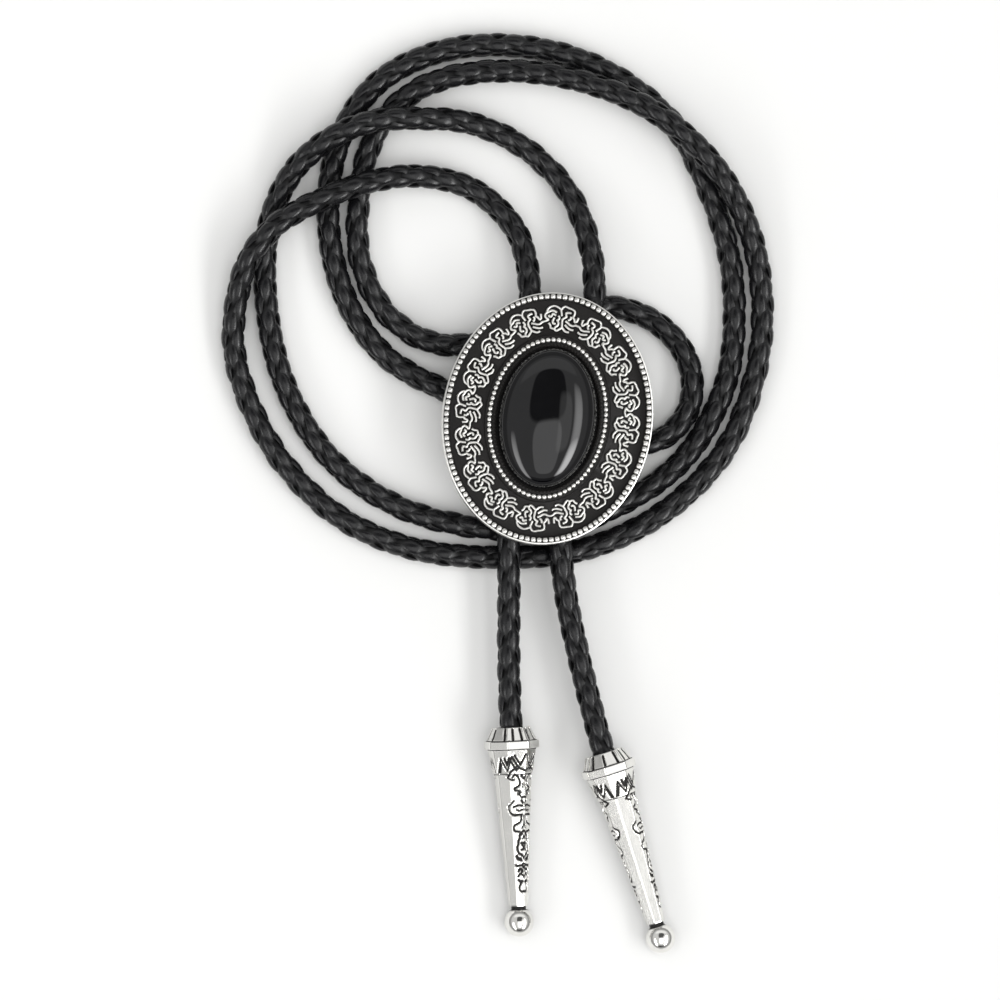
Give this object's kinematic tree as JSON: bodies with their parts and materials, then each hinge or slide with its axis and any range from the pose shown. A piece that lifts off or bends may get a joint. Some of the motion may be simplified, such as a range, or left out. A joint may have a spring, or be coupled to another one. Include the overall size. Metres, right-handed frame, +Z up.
{
  "type": "bolo tie",
  "caption": "Braided leather neck cord in loose loops, drawn through the slide of an oval cast medallion with a domed black stone, and ending in cast metal tips",
  "frame": {"origin": "On the table, under the middle of the box round the hard pieces: medallion, stone, slide and the two tips. The cord is left out of that box.", "axes": "+Z is up from the table and out of the front of the medallion, +Y points from the tips past the medallion to the loops of cord, and +X is to the right as the medallion's front is seen with the tips below."},
  "size_m": [0.1065, 0.1775, 0.0181],
  "materials": {
    "antique_silver": "silver-coloured casting, worn bright on the raised work and blackened in the recesses",
    "black_stone": "opaque black cabochon with a mirror polish",
    "plain_metal": "plain silver-coloured metal, satin",
    "black_leather": "black leather strands in a round braid, semi-gloss",
    "polished_silver": "bright polished silver-coloured casting with black in the engraved lines"
  },
  "bodies": {
    "root": {"medallion": "antique_silver", "stone": "black_stone", "slide_clasp": "plain_metal", "cord": "black_leather", "tip_left": "polished_silver", "tip_right": "polished_silver"}
  },
  "joints": []
}
